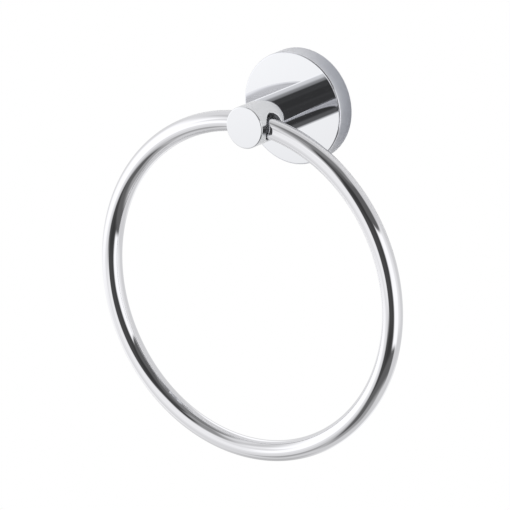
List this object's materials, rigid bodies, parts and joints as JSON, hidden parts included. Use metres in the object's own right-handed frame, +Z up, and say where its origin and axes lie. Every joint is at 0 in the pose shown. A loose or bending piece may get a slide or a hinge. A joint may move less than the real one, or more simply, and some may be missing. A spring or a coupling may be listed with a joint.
{
  "type": "towel ring",
  "caption": "Wall-mounted towel ring: a round rod ring hangs and swings in the cross hole of a round post on a flat round rosette, in polished chrome.",
  "frame": {"origin": "centre of the rosette's back, on the wall plane, midway between the two wall screws", "axes": "+Z up, +Y into the wall, so the post stands out towards -Y; +X to the right seen from the front, along the ring's hinge"},
  "size_m": [0.172, 0.05, 0.195],
  "materials": {
    "chromed_brass": "polished, bright chrome plate",
    "plain_brass": "turned, bare",
    "zinc_plated_steel": "zinc plated, satin"
  },
  "bodies": {
    "wall_holder": {"rosette": "chromed_brass", "post": "chromed_brass", "post_screw": "zinc_plated_steel", "spring_washer": "zinc_plated_steel", "wall_plate": "zinc_plated_steel", "grub_screw": "zinc_plated_steel"},
    "ring": {"ring": "chromed_brass", "ring_dowel": "plain_brass"}
  },
  "joints": [
    {"name": "ring_swing", "type": "hinge", "parent": "wall_holder", "child": "ring", "pos_m": [0, -0.04, -0.00054], "axis": [-1, 0, 0], "range_deg": [-12, 192]}
  ]
}
